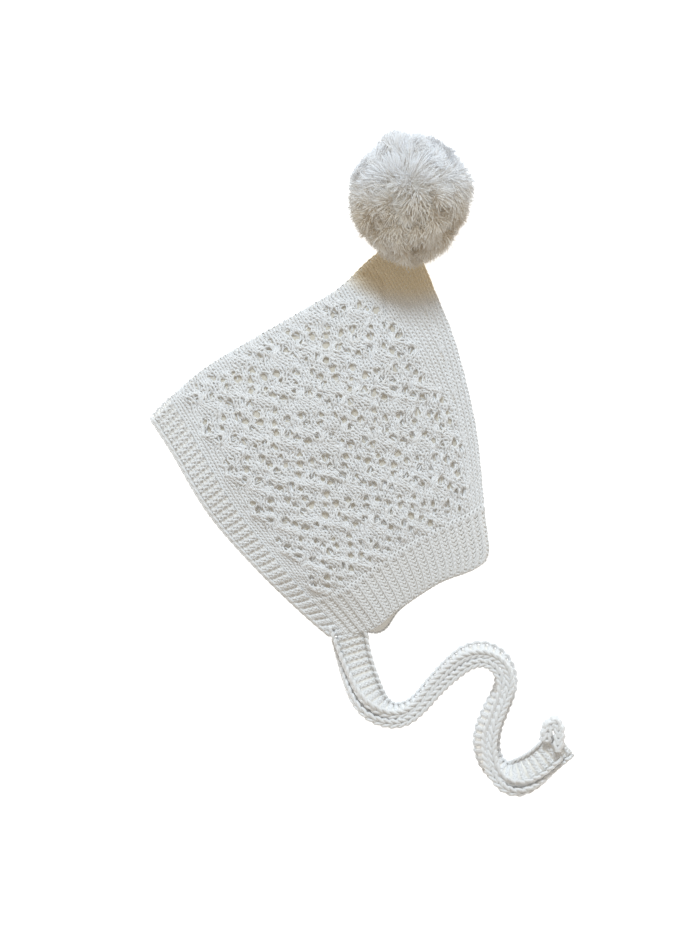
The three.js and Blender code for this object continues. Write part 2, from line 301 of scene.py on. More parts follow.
def cottonMaterial(name, fibre, shade, plies, twistLength, fuzz, relief, sheen, glow,
                   shadeTint=(1.0, 0.86, 0.63)):
    material = bpy.data.materials.new(name)
    material.use_nodes = True
    nodes, links = material.node_tree.nodes, material.node_tree.links
    shader = nodes["Principled BSDF"]
    yarn = nodes.new("ShaderNodeGroup")
    yarn.node_tree = yarnGroup
    for title, value in (("Fibre", (*fibre, 1)), ("Shade", (*shade, 1)), ("Shade Tint", (*shadeTint, 1)),
                         ("Plies", plies), ("Twist Length", twistLength), ("Fuzz", fuzz)):
        yarn.inputs[title].default_value = value
    raised = nodes.new("ShaderNodeBump")
    raised.inputs["Strength"].default_value = relief
    raised.inputs["Distance"].default_value = yarnLook["reliefHeight"]
    links.new(yarn.outputs["Height"], raised.inputs["Height"])
    links.new(raised.outputs["Normal"], shader.inputs["Normal"])
    links.new(yarn.outputs["Colour"], shader.inputs["Base Color"])
    links.new(yarn.outputs["Roughness"], shader.inputs["Roughness"])
    links.new(yarn.outputs["Colour"], shader.inputs["Emission Color"])
    shader.inputs["Emission Strength"].default_value = glow    # painted glow, standing in for light that comes through the thin cotton
    shader.inputs["Sheen Weight"].default_value = sheen
    shader.inputs["Sheen Roughness"].default_value = yarnLook["sheenRoughness"]
    shader.inputs["Specular IOR Level"].default_value = yarnLook["specular"]
    return material


# in each finish, shade is the colour of painted shade, and glow is a painted glow
finishes = dict(
    knit=cottonMaterial("knitCotton", fibre=(0.79, 0.80, 0.815), shade=(0.74, 0.70, 0.63), plies=3,
                        twistLength=1.9, fuzz=0.5, relief=0.4, sheen=0.1, glow=0.06),
    backing=cottonMaterial("backingCotton", fibre=(0.88, 0.87, 0.84), shade=(0.60, 0.56, 0.48), plies=3,
                           twistLength=1.9, fuzz=1.0, relief=0.6, sheen=0.0, glow=0.15),
    strand=cottonMaterial("pompomCotton", fibre=(0.84, 0.88, 0.94), shade=(0.78, 0.74, 0.68), plies=2,
                          twistLength=2.6, fuzz=0.4, relief=0.1, sheen=0.2, glow=0.09,
                          shadeTint=(0.75, 0.64, 0.48)),
    core=cottonMaterial("pompomCore", fibre=(0.84, 0.83, 0.82), shade=(0.72, 0.70, 0.66), plies=2,
                        twistLength=2.6, fuzz=2.0, relief=0.8, sheen=0.0, glow=0.0),
)
print("materials ready")

# the folded cloth, with the solid model's own outline and thickness, mm
cloth = dict(wall=2.6, edging=3.2, rib=3.0, bendRadius=3.4, restGap=0.6, fullGap=15.0,
             edgingWidth=12.0, ribDepth=26.0, faceLength=160.0, middleWidth=140.0, rimPower=8)
corners = dict(faceTop=(-94.3, -18), faceFoot=(5.2, -138.4), tip=(49.8, 88), heel=(92.6, -96.6))
edges = dict(
    fold=evenLine([corners["faceTop"], (-64, 9.4), (-14.6, 38.8), (10.2, 54), (27, 69.5), corners["tip"]]),
    back=evenLine([corners["tip"], (64.6, 52), (76.4, 22), (86.8, -22), (91.4, -66), (94.2, -88),
                   corners["heel"]]),
    face=evenLine([corners["faceTop"], (-82, -36.6), (-61, -71.2), (-35.5, -100.4), (-10.7, -124.6),
                   corners["faceFoot"]]),
    neck=evenLine([corners["faceFoot"], (28, -134.8), (44, -122.6), (65.4, -108.6), (84, -101.6),
                   corners["heel"]]),
)
edgingShare = cloth["edgingWidth"] / cloth["middleWidth"]
ribShare = cloth["ribDepth"] / cloth["faceLength"]


def plan(s, t):
    # s runs from the face edge to the back, and t from the fold to the neck, 0 to 1
    s1, t1 = s[..., None], t[..., None]
    corner = {key: np.array(value, float) for key, value in corners.items()}
    rims = ((1 - t1) * edges["fold"](s) + t1 * edges["neck"](s)
            + (1 - s1) * edges["face"](t) + s1 * edges["back"](t))
    return (rims - (1 - s1) * (1 - t1) * corner["faceTop"] - s1 * (1 - t1) * corner["tip"]
            - (1 - s1) * t1 * corner["faceFoot"] - s1 * t1 * corner["heel"])


def bendShare(distance):
    # the round turn of the cloth along the fold and the back seam: 0 on its outside, 1 past it
    left = 1 - np.clip(distance / cloth["bendRadius"], 0, 1)
    return np.sqrt(1 - left * left)


# how the two layers part: how soon, what is left of it at the rims, and what the ties take off
parting = dict(rise=0.42, atFace=0.62, atNeck=0.58, rim=0.3, tieLoss=0.45)


def innerGap(s, t):
    closed = swell(t / parting["rise"]) * swell((1 - s) / parting["rise"])
    faceRim = parting["atFace"] + (1 - parting["atFace"]) * swell(s / parting["rim"])
    neckRim = parting["atNeck"] + (1 - parting["atNeck"]) * swell((1 - t) / parting["rim"])
    nearTies = swell(1 - np.hypot(s / parting["rim"], (1 - t) / parting["rim"]))
    wide = cloth["fullGap"] * closed * (faceRim * neckRim)
    return cloth["restGap"] + wide * (1 - parting["tieLoss"] * nearTies)


# under the pompom the cloth sinks in a dent, with a narrow crease across it, mm
dent = dict(x=33, y=52, wide=11, tall=7, deep=2.2)
crease = dict(route=[(17, 57), (26, 61), (34.5, 58.5), (35.5, 49), (36, 39)], deep=1.9, wide=1.9)


def sinking(at):
    x, y = at[..., 0], at[..., 1]
    nearest = np.full(x.shape, np.inf)
    route = np.array(crease["route"], float)
    for a, b in zip(route[:-1], route[1:]):
        share = np.clip(((at - a) @ (b - a)) / ((b - a) @ (b - a)), 0, 1)
        nearest = np.minimum(nearest, np.linalg.norm(at - a - share[..., None] * (b - a), axis=-1))
    return (dent["deep"] * bump(x, dent["x"], dent["wide"]) * bump(y, dent["y"], dent["tall"])
            + crease["deep"] * bump(nearest, 0, crease["wide"]))


# along the neck the lower layer shows past the upper one, most of all in one place
peek = dict(all=1.0, most=3.4, at=0.3, spread=0.09, start=0.19, startOver=0.07, endOver=0.2, neckFrom=0.6,
            outwards=(0.5, -0.85))


def lowerPeek(s, t):
    far = peek["all"] + peek["most"] * bump(s, peek["at"], peek["spread"])
    along = swell((s - peek["start"]) / peek["startOver"]) * swell((1 - s) / peek["endOver"])
    return far * along * swell((t - peek["neckFrom"]) / (1 - peek["neckFrom"]))


def clothPoint(s, t, layer, inset, thick):
    # a place on the cloth, inset millimetres under its outer face; layer 1 is above and -1 below
    s, t, inset = np.broadcast_arrays(np.clip(s, 0, 1), np.clip(t, 0, 1), inset)
    at = plan(s - inset / cloth["middleWidth"] * s ** cloth["rimPower"],
              t + inset / cloth["faceLength"] * (1 - t) ** cloth["rimPower"])
    turned = bendShare(t * cloth["faceLength"]) * bendShare((1 - s) * cloth["middleWidth"])
    middle = thick + cloth["restGap"] / 2
    roof = 2 * thick + innerGap(s, t) - sinking(at) * turned - inset
    z = middle + (np.where(layer > 0, roof, inset) - middle) * turned
    shown = lowerPeek(s, t) * (layer < 0)
    x, y = (at[..., k] + peek["outwards"][k] * shown for k in (0, 1))
    return np.stack([x, y, z], -1) * mm


# one stitch: its sway in columns and reach in rows, then its rise, radius and depth in the cloth, mm, and
# where and how much painted shade darkens its yarn where it lies low
loop = dict(sway=0.28, tall=0.82, lift=0.45, yarn=0.64, depth=1.05, lowFrom=0.05, lowShade=0.5)


def loopRow(columns, row, steps):
    # one row's yarn through whole columns: its places in columns and rows, and its height, mm
    turn = np.arange(len(columns) * steps + 1) / steps * 2 * np.pi
    across = columns[0] + turn / 2 / np.pi + loop["sway"] * np.sin(2 * (turn + np.pi))
    down = row + loop["tall"] * np.cos(turn + np.pi)
    return across, down, -loop["lift"] * np.cos(2 * turn)


def tension(c, r, seed):
    # slow unevenness of hand knitting, in stitches
    across = ripple(c, r, (0.9, 1.7, seed), (2.3, -1.1, 2 * seed))
    down = ripple(c, r, (-0.7, 1.3, 3 * seed), (2.9, 0.6, seed))
    return 0.03 * across, 0.035 * down


grid = dict(topColumns=48.0, neckColumns=40.5, rows=78, strip=3, stitchWide=3.0, stitchTall=2.2)
bodyRows = grid["rows"] * (1 - ribShare)


def columnCount(t):
    return grid["topColumns"] + (grid["neckColumns"] - grid["topColumns"]) * t


def shareOf(column, t):
    return edgingShare + (1 - edgingShare) * column / columnCount(t)


def awayFrom(c, r, mark):
    # how far the yarn lies from a mark of the lace, mm
    return (c - mark[0]) * grid["stitchWide"], (r - mark[1]) * grid["stitchTall"]


# lace: marks of one repeat, counted in columns towards the back and rows towards the neck
lace = dict(
    columns=14, rows=12, firstColumn=6.0, firstRow=7.0,
    repeatsAcross=range(-1, 5), repeatsDown=range(-1, 7),
    eyelets=[(0, 0), (1, 2), (2, 4), (0, 6), (-1, 8), (-2, 10), (3, 10), (5, 10), (3, 0), (5, 0),
             (8, 6), (9, 8), (10, 10), (8, 0), (7, 2), (6, 4), (11, 4), (11, 6),
             (5, 7), (2, 8), (9, 3), (4, 5)],
    bands=[(-0.75, 2.0), (7.25, 8.0), (3.1, 2.5), (11.1, 8.5)],
    puffs=[(3.6, 7.2), (12.7, 4.6), (10.2, 1.6), (0.6, 9.4)],
    # where it ends: columns and rows at its rims, and its back border from the top down, mm
    leastColumn=2.5, leastRow=2.4, rowsLeft=1.2, mostShare=0.97, top=47,
    border=[(46.2, 28), (35.2, 45), (11.6, 58), (-13.2, 70), (-36.3, 77.5), (-55.6, 81)],
    # eyelets: how far the yarn is pushed off, mm, the spread of their sizes, how far they stray, in
    # stitches, then their reach, the raised rim, the pit, and the yarn that runs behind them, mm
    open=1.80, sizes=(0.62, 1.18), jitter=0.16, reach=4.0, felt=8,
    rimRise=0.45, rimAt=2.6, rimWide=0.9, pit=0.3, pitWide=1.6, holeShare=0.82, sinkBehind=1.3,
    # bands and puffs: lean, then half sizes in stitches and rise in mm
    bandLean=0.5, bandHalf=2.7, bandWide=1.2, bandRise=1.5, puffWide=1.4, puffTall=1.7, puffRise=1.2,
    # unevenness: of the stitches' places, and of their height in a fine and a slow wave
    swayAcross=0.07, swayDown=0.077, fineRise=0.24, slowRise=0.30, fadeRows=5,
    roundColumns=1.6, roundRows=2.2, roundGain=1.6,
)


def laceMarks(kind):
    # places of the eyelets, bands or puffs over the whole cloth, kept where the lace goes
    found = []
    heights, limits = zip(*sorted(lace["border"]))
    spots = [(lace["firstColumn"] + column + i * lace["columns"], lace["firstRow"] + row + j * lace["rows"])
             for i in lace["repeatsAcross"] for j in lace["repeatsDown"] for column, row in lace[kind]]
    for c, r in spots:
        if not lace["leastRow"] < r < bodyRows - lace["rowsLeft"] or c < lace["leastColumn"]:
            continue
        t = r / grid["rows"]
        s = float(shareOf(c, t))
        x, y = plan(np.array(s), np.array(t))
        if s <= lace["mostShare"] and y < lace["top"] and x < np.interp(y, heights, limits):
            found.append((c, r))
    return np.array(found)


eyelets, bands, puffs = laceMarks("eyelets"), laceMarks("bands"), laceMarks("puffs")
eyelets = eyelets + rng.normal(0, lace["jitter"], eyelets.shape)
eyeletSizes = lace["open"] * rng.uniform(*lace["sizes"], len(eyelets))


def pushedOff(c, r):
    # how far the yarn moves to open the eyelets, in columns and rows, and its rise round them
    shiftC, shiftR, rise = np.zeros_like(c), np.zeros_like(c), np.zeros_like(c)
    for eyelet, size in zip(eyelets, eyeletSizes):
        x, y = awayFrom(c, r, eyelet)
        near = (np.abs(x) < lace["felt"]) & (np.abs(y) < lace["felt"])
        away = np.hypot(x[near], y[near])
        push = (np.sqrt(away ** 2 + size ** 2) - away) * bump(away, 0, lace["reach"])
        away = np.maximum(away, 0.05)                  # no division by nothing in an eyelet's middle
        shiftC[near] += push * x[near] / away / grid["stitchWide"]
        shiftR[near] += push * y[near] / away / grid["stitchTall"]
        rise[near] += lace["rimRise"] * bump(away, lace["rimAt"], lace["rimWide"])
        rise[near] -= lace["pit"] * bump(away, 0, lace["pitWide"])
    return shiftC, shiftR, rise


def crossesHole(c, r):
    # yarn that would run straight across an eyelet
    crossing = np.zeros(c.shape, bool)
    for eyelet, size in zip(eyelets, eyeletSizes):
        x, y = awayFrom(c, r, eyelet)
        inside = np.hypot(x[1:] + x[:-1], y[1:] + y[:-1]) / 2 < lace["holeShare"] * size
        crossing[1:] |= inside
        crossing[:-1] |= inside
    return crossing


def laceThere(c, r):
    # 1 in the lace and 0 in the plain knitting round it
    here = np.zeros_like(c)
    for ec, er in eyelets:
        here = np.maximum(here, bump(c, ec, lace["roundColumns"]) * bump(r, er, lace["roundRows"]))
    return smooth(here * lace["roundGain"])


def laceWarp(c, r):
    # leans yarn along the slanted bands, then moves it off the eyelets; gives the new place and a lift, mm
    lift, lean = np.zeros_like(c), np.zeros_like(c)
    for bc, br in bands:
        near = bump(c, bc, lace["bandWide"]) * np.exp(-((r - br) / lace["bandHalf"]) ** 4)
        lean += lace["bandLean"] * (r - br) * near
        lift += lace["bandRise"] * near
    c = c + lean
    for pc, pr in puffs:
        lift += lace["puffRise"] * bump(c, pc, lace["puffWide"]) * bump(r, pr, lace["puffTall"])
    shiftC, shiftR, rise = pushedOff(c, r)
    lift += rise - lace["sinkBehind"] * crossesHole(c + shiftC, r + shiftR)
    rough = laceThere(c, r)
    shiftC += rough * lace["swayAcross"] * ripple(c, r, (7.3, 3.1, 0), (-5.7, 4.1, 0))
    shiftR += rough * lace["swayDown"] * ripple(c, r, (4.7, 6.1, 0), (8.3, -2.9, 0))
    lift += rough * lace["fineRise"] * ripple(c, r, (3.7, 5.3, 0), (5.9, -4.3, 0))
    lift += rough * lace["slowRise"] * ripple(c, r, (2.3, 1.4, 0), (-1.9, 1.6, 1.0))
    return c + shiftC, r + shiftR, lift * smooth(r / lace["fadeRows"])


# the crown's rows: its lower layer is made of fewer points, and each layer has its own tension
crown = dict(upper=dict(layer=1, steps=8, sides=6, yarn=1.0, tension=1.3),
             lower=dict(layer=-1, steps=6, sides=4, yarn=1.04, tension=4.1), firstRow=0.5, spare=0.3)


def onCrown(c, r, high, side, strip):
    # columns and rows to points of the crown; the strip is the three columns along the back
    lift = 0.0
    if side["layer"] > 0 and not strip:
        c, r, lift = laceWarp(c, r)
    moveC, moveR = tension(c, r, side["tension"])
    c, r = c + moveC, r + moveR
    t = np.clip(r / grid["rows"], 0, 1)
    s = 1 - (1 - edgingShare) * (grid["strip"] - c) / columnCount(t) if strip else shareOf(c, t)
    return clothPoint(s, t, side["layer"], loop["depth"] - high - lift, cloth["wall"])


def crownRows(side):
    # rows whose columns end where they meet the strip along the back, as a front half and a back half
    front, back = [], []
    for row in np.arange(crown["firstRow"], bodyRows - crown["spare"]):
        whole = math.ceil(columnCount(row / grid["rows"]) - grid["strip"] - crown["spare"])
        half = whole // 2
        for part, first, last, strip in ((front, 0, half, False), (back, half, whole, False),
                                         (back, 0, grid["strip"], True)):
            c, r, high = loopRow(np.arange(first, last), row, side["steps"])
            points = onCrown(c, r, high, side, strip)
            # painted shade on the yarn where it lies low in the cloth
            depth = np.clip((-high - loop["lowFrom"]) / loop["lift"], 0, 1) * loop["lowShade"]
            part.append(oneYarn(points, loop["yarn"] * side["yarn"], side["sides"], depth))
    return front, back


upperFront, upperBack = crownRows(crown["upper"])
lowerFront, lowerBack = crownRows(crown["lower"])
crownFront = yarnPiece("crown_stitches_front", upperFront)
crownBack = yarnPiece("crown_stitches_back", upperBack)
crownUnder = yarnPiece("crown_stitches_under", lowerFront + lowerBack)


# thin cloth behind the stitches: it closes the gaps between the yarns, and lies deeper at the eyelets; its
# colour carries painted shade, a little everywhere and most in the eyelets
backing = dict(across=150, down=170, margin=0.004, inset=1.18, deeper=0.5, rim=0.9, shade=0.15,
               pitShade=0.70)


def backingCloth():
    s, t = np.meshgrid(np.linspace(edgingShare + backing["margin"], 1, backing["across"] + 1),
                       np.linspace(0, 1 - ribShare - backing["margin"], backing["down"] + 1))
    c, r = (s - edgingShare) / (1 - edgingShare) * columnCount(t), t * grid["rows"]
    opened = np.zeros(s.shape)
    for eyelet, size in zip(eyelets, eyeletSizes):
        away = np.hypot(*awayFrom(c, r, eyelet))
        opened = np.maximum(opened, smooth((size + backing["rim"] - away) / backing["rim"]))
    points, faces, paintedShade = [], [], []
    quads = gridFaces(backing["across"], backing["down"])
    for layer in (1, -1):
        sunk = opened * (layer > 0)
        inset = backing["inset"] + backing["deeper"] * sunk
        points.append(clothPoint(s, t, layer, inset, cloth["wall"]).reshape(-1, 3))
        # painted shade: a little over the whole backing, most in the eyelets
        paintedShade.append((backing["shade"] + backing["pitShade"] * sunk).ravel())
        faces.append(quads[:, ::-layer] + (0 if layer > 0 else len(points[0])))
    return plainPiece("crown_cloth", np.concatenate(points), np.concatenate(faces), np.concatenate(paintedShade))


crownCloth = backingCloth()


def innerCloth(name, u, v, insets, thick, paintedShade):
    # plain cloth inside the edging or the rib: two faces of each of its two layers
    s, t = np.meshgrid(u, v)
    points = [clothPoint(s, t, layer, inset, thick).reshape(-1, 3)
              for layer in (1, -1) for inset in insets]
    quads = gridFaces(len(u) - 1, len(v) - 1)
    faces = [quads + k * s.size for k in range(len(points))]
    # an even painted shade over the inner cloth
    return plainPiece(name, np.concatenate(points), np.concatenate(faces), paintedShade)


# garter edging along the face: ridges across it, and a chain of slipped stitches on its edge
edging = dict(rows=68, columns=3, yarn=0.72, ridge=1.55, depth=1.35,
              knit=dict(face=1.0, rise=-0.2, shade=0.35), purl=dict(face=-1.0, rise=0.25, shade=-0.1),
              shadeOver=1.1, shadeMost=0.6, tension=2.0,
              upper=dict(layer=1, steps=8, sides=6), lower=dict(layer=-1, steps=6, sides=5),
              chain=2.7, chainRoom=0.8, chainTilt=38, chainYarn=0.78, chainLean=0.62, chainSway=0.13,
              chainWide=1.5, chainRise=0.35, chainAt=0.9, chainDepth=1.25, chainShade=0.3,
              chainSpare=3, inwardStep=0.05,
              coreAt=(0.6, 4, 8, 12), coreRows=90, coreInsets=(1.5, 2.9), coreShade=0.05)
chainLoop = dict(turn=0.8 * np.pi, reach=0.84)         # a chain stitch's turn, and its reach in stitches


def edgingPoint(c, r, high, layer):
    # c counts from the chain towards the crown
    room = edging["chain"] * edging["chainRoom"]
    s = (room + c / edging["columns"] * (cloth["edgingWidth"] - room)) / cloth["middleWidth"]
    return clothPoint(s, r / edging["rows"], layer, edging["depth"] - high, cloth["edging"])


def edgingYarn(layer, steps, sides):
    parts = []
    for row in range(edging["rows"]):
        kind = edging["knit"] if row % 2 else edging["purl"]
        c, r, high = loopRow(np.arange(0, edging["columns"]), row + 0.5, steps)
        high = high * kind["face"] * edging["ridge"]
        moveC, moveR = tension(c, r, edging["tension"])
        points = edgingPoint(c + moveC, r + moveR, high + kind["rise"], layer)
        # painted shade where the yarn sinks between the ridges
        depth = np.clip((-high + kind["shade"]) / edging["shadeOver"], 0, 1) * edging["shadeMost"]
        parts.append(oneYarn(points, edging["yarn"], sides, depth))
    return parts + [edgingChain(layer, steps, sides)]


def edgingChain(layer, steps, sides):
    # one column of long stitches that wraps the cloth's edge
    count = edging["rows"] // 2
    tilt = math.radians(edging["chainTilt"])
    turn = np.linspace(-chainLoop["turn"], chainLoop["turn"], steps + edging["chainSpare"])
    side = turn / 2 / np.pi * edging["chainLean"] + edging["chainSway"] * np.sin(2 * turn)
    side = side * edging["chain"] * edging["chainWide"]
    high = -edging["chainRise"] * np.cos(2 * turn)
    lines = []
    for k in range(count):
        t = np.clip((k + 0.5 + chainLoop["reach"] * np.cos(turn)) / count, 0, 1)
        s = np.full_like(t, edging["chainAt"] / cloth["middleWidth"])
        line = clothPoint(s, t, layer, edging["chainDepth"], cloth["edging"]) / mm
        inward = unit(plan(np.full_like(t, edging["inwardStep"]), t) - plan(np.zeros_like(t), t))
        line[:, :2] += inward * (side * math.cos(tilt) - high * math.sin(tilt))[:, None]
        turned = bendShare(t * cloth["faceLength"])
        line[:, 2] += layer * (side * math.sin(tilt) + high * math.cos(tilt)) * turned
        lines.append(line * mm)
    # painted shade on the chain's loops where they lie low
    depth = np.broadcast_to(np.clip(edging["chainShade"] * np.cos(2 * turn), 0, 1), (count, len(turn)))
    return tubes(np.array(lines), edging["chainYarn"] * mm, sides, depth)


edgingLayers = edgingYarn(**edging["upper"]) + edgingYarn(**edging["lower"])
edgingKnit = yarnPiece("face_edging_stitches", edgingLayers)
edgingCloth = innerCloth("face_edging_cloth", np.array(edging["coreAt"]) / cloth["middleWidth"],
                         np.linspace(0, 1, edging["coreRows"]), edging["coreInsets"], cloth["edging"],
                         edging["coreShade"])

# ribbed neck: knit and purl columns in turn, and a raised row where it starts
rib = dict(rows=12, columns=21, yarn=0.68, deep=0.4125, ridge=1.1, firstRise=0.35, depth=1.35, margin=0.003,
           tension=5.0, shade=0.25, shadeFall=0.45, shadeMost=0.55,
           upper=dict(layer=1, steps=8, sides=6), lower=dict(layer=-1, steps=8, sides=4),
           coreColumns=90, coreRows=14, coreEnd=0.996, coreInsets=(1.9, 2.8), coreShade=0.1)
ribStart = edgingShare + rib["margin"]


def ribYarn(layer, steps, sides):
    parts = []
    columns = np.arange(0, rib["columns"] * 2)
    for row in range(rib["rows"]):
        c, r, high = loopRow(columns, row + 0.5, steps)
        if row == 0:
            up = high * rib["ridge"] + rib["firstRise"]
        else:
            wave = np.cos(np.pi * (c - 0.5))
            up = high * wave * rib["ridge"] + rib["deep"] * wave
        moveC, moveR = tension(c, r, rib["tension"])
        s = ribStart + (1 - edgingShare - rib["margin"]) * (c + moveC) / len(columns)
        t = 1 - ribShare + ribShare * (r + moveR) / rib["rows"]
        points = clothPoint(s, t, layer, rib["depth"] - up, cloth["rib"])
        # painted shade on the yarn where it lies low between the ribs
        depth = np.clip(rib["shade"] - up * rib["shadeFall"], 0, 1) * rib["shadeMost"]
        parts.append(oneYarn(points, rib["yarn"], sides, depth))
    return parts


ribKnit = yarnPiece("neck_rib_stitches", ribYarn(**rib["upper"]) + ribYarn(**rib["lower"]))
ribCloth = innerCloth("neck_rib_cloth", np.linspace(ribStart, 1, rib["coreColumns"]),
                      np.linspace(1 - ribShare, rib["coreEnd"], rib["coreRows"]), rib["coreInsets"],
                      cloth["rib"], rib["coreShade"])
print("edging and rib knitted")

# ties: garter straps with chain edges; x, y, what they lie on, and their bank, mm and degrees
tie = dict(width=16.0, rootWidth=21.0, flareShare=0.12, thick=3.2, samples=1200,
           columns=4, pitch=2.0, steps=8, sides=6, inner=0.69, yarn=0.84, ridge=1.7, rise=0.25, tension=3.0,
           shade=0.35, shadeFall=1.2, shadeMost=0.4,
           chains=[dict(edge=-1, wide=5.0, yarn=0.98), dict(edge=1, wide=5.4, yarn=1.05)],
           chainSteps=11, chainLean=0.60, chainSway=0.17, chainWide=1.45, chainOver=0.3, chainRise=0.5,
           chainAt=1.1, chainShade=0.2,
           coreRings=150, coreWide=0.84, coreHigh=0.55, coreShade=0.1, cordPoints=60)
upperRoute = [
    (16.9, -138.8, 7.6, 0), (19.2, -147.0, 6.2, 3), (23.0, -158.4, 4.9, 14), (27.8, -169.4, 4.2, 36),
    (33.4, -176.4, 2.2, 59), (40.4, -179.9, 0.2, 71), (47.6, -178.8, 0.2, 74), (54.2, -174.1, 0.2, 78),
    (63.0, -163.6, 0.2, 80), (72.9, -153.5, 0.2, 78), (81.1, -147.9, 0.2, 73), (89.9, -146.4, 0.2, 70),
    (97.6, -149.3, 0.2, 72), (102.8, -154.8, 0.2, 77), (105.1, -162.3, 0.2, 80), (104.2, -170.0, 0.2, 80),
    (100.4, -179.8, 0.2, 80), (96.7, -189.8, 0.2, 80), (95.5, -200.2, 0.2, 78), (98.0, -209.0, 0.4, 70),
    (103.6, -213.8, 1.6, 52), (111.0, -213.2, 4.0, 26), (118.8, -209.2, 4.4, 9), (125.4, -203.6, 4.2, 2),
    (129.2, -199.6, 5.4, 0),
]
lowerRoute = [
    (16.7, -139.0, 0, 0), (18.2, -147.6, 0, 2), (20.6, -159.4, 0, 12), (24.2, -172.4, 0, 34),
    (30.4, -181.2, 0, 60), (40.0, -185.8, 0, 78), (48.4, -184.6, 0, 84), (56.2, -178.6, 0, 85),
    (66.0, -167.6, 0, 83), (75.0, -159.4, 0, 82), (82.8, -154.2, 0, 82), (89.9, -153.0, 0, 84),
    (95.4, -156.2, 0, 88), (98.6, -162.2, 0, 93), (97.8, -169.4, 0, 101), (93.5, -178.8, 0, 107),
    (89.1, -190.6, 0, 108), (88.6, -200.6, 0, 107), (92.0, -211.6, 0, 97), (99.4, -220.2, 0, 84),
    (108.2, -221.2, 0, 58), (116.4, -215.6, 0, 23), (123.5, -208.8, 0, 6), (130.1, -203.0, 0, 0),
    (135.3, -198.7, 0, 0),
]
# the upper tie's knitting starts on the end of the edging, and its cast-off corner curls over in a roll
upperSeat = (14.9, -131.6, 8.0, 0)
curl = dict(width=8.5, chainWide=5.6, yarn=1.1, edges=(-1, 0, 1),
            route=[(125.0, -196.5, 2.4, 80), (125.8, -190.4, 2.2, 80), (128.0, -186.6, 2.0, 80),
                   (130.6, -187.2, 2.0, 80), (131.4, -191.8, 2.2, 80), (131.0, -198.0, 2.6, 80),
                   (130.6, -204.5, 3.0, 80)])


class Strap:
    # the frame along a tie: its middle line, its width direction and the direction out of its flat side
    def __init__(self, route, root, end):
        share = np.linspace(0, 1, tie["samples"])
        line = catmullRom(route, share)
        flatRun = np.gradient(line[:, :2], axis=0)
        flatRun /= np.linalg.norm(flatRun, axis=1, keepdims=True)
        bank = np.radians(line[:, 3])
        right = np.stack([flatRun[:, 1], -flatRun[:, 0], np.zeros(len(line))], -1)
        up = np.array([0, 0, 1.0])
        self.wide = right * np.cos(bank)[:, None] + up * np.sin(bank)[:, None]
        self.high = -right * np.sin(bank)[:, None] + up * np.cos(bank)[:, None]
        flare = np.maximum(0, 1 - share / tie["flareShare"])
        self.half = (end + (root - end) * flare) / 2
        rise = self.half * np.abs(np.sin(bank)) + tie["thick"] / 2 * np.abs(np.cos(bank)) + line[:, 2]
        self.middle = np.column_stack([line[:, :2], rise])
        steps = np.linalg.norm(np.diff(self.middle, axis=0), axis=1)
        self.run = np.concatenate([[0], np.cumsum(steps)])
        self.length = self.run[-1]

    def pick(self, along, table):
        return np.stack([np.interp(along, self.run, table[:, k]) for k in range(3)], -1)

    def at(self, along, across, high):
        # along in mm, across from -1 to 1, high in mm
        along = np.clip(along, 0, self.length)
        half = np.interp(along, self.run, self.half)
        return (self.pick(along, self.middle) + self.pick(along, self.wide) * (across * half)[..., None]
                + self.pick(along, self.high) * np.asarray(high)[..., None]) * mm


def chainAlong(strap, pitch, edge, wide, yarn):
    # a chain of stitches on one edge of a strap, wide millimetres across
    count = int(strap.length / pitch + 0.01) // 2
    turn = np.linspace(-chainLoop["turn"], chainLoop["turn"], tie["chainSteps"])
    side = turn / 2 / np.pi * tie["chainLean"] + tie["chainSway"] * np.sin(2 * turn)
    side = side * wide * tie["chainWide"] + (wide - tie["thick"]) * tie["chainOver"]
    out = tie["chainRise"] * np.cos(2 * turn)
    across = edge * (1 - (tie["chainAt"] + out) / (tie["width"] / 2))
    lines = [strap.at((k + 0.5 - chainLoop["reach"] * np.cos(turn)) * 2 * pitch, across, side)
             for k in range(count)]
    # painted shade on the chain's loops where they turn in
    depth = np.broadcast_to(np.clip(tie["chainShade"] * np.cos(2 * turn), 0, 1), (count, len(turn)))
    return tubes(np.array(lines), yarn * mm, tie["sides"], depth)


def tieYarn(strap):
    parts = []
    rows = int(strap.length / tie["pitch"])
    pitch = strap.length / rows
    for row in range(rows):
        face = 1.0 if row % 2 else -1.0
        c, r, high = loopRow(np.arange(0, tie["columns"]), row + 0.5, tie["steps"])
        moveC, moveR = tension(c, r, tie["tension"])
        across = ((c + moveC) / tie["columns"] * 2 - 1) * tie["inner"]
        points = strap.at((r + moveR) * pitch, across, high * face * tie["ridge"] - face * tie["rise"])
        # painted shade on the yarn, most where it passes between the ridges
        depth = np.clip(tie["shade"] - np.abs(high) * tie["shadeFall"], 0, 1) * tie["shadeMost"]
        parts.append(oneYarn(points, tie["yarn"], tie["sides"], depth))
    return parts + [chainAlong(strap, pitch, **chain) for chain in tie["chains"]]


def curledEnd():
    roll = Strap(curl["route"], curl["width"], curl["width"])
    return [chainAlong(roll, tie["pitch"], edge, curl["chainWide"], curl["yarn"]) for edge in curl["edges"]]


def tieCore(name, strap):
    # plain cloth inside the strap, closed at both ends
    rings, wide, high = tie["coreRings"], tie["coreWide"], tie["coreHigh"]
    stations = np.linspace(0, strap.length, rings)
    section = [(-wide, -high), (wide, -high), (wide, high), (-wide, high)]
    points = np.stack([strap.at(stations, np.full(rings, a), np.full(rings, h)) for a, h in section], 1)
    ends = np.array([[0, 1, 2, 3], [4 * rings - 1 - k for k in range(4)]])
    faces = np.concatenate([ringFaces(4, rings), ends])
    # an even painted shade over the strap's inner cloth
    return plainPiece(name, points.reshape(-1, 3), faces, tie["coreShade"])


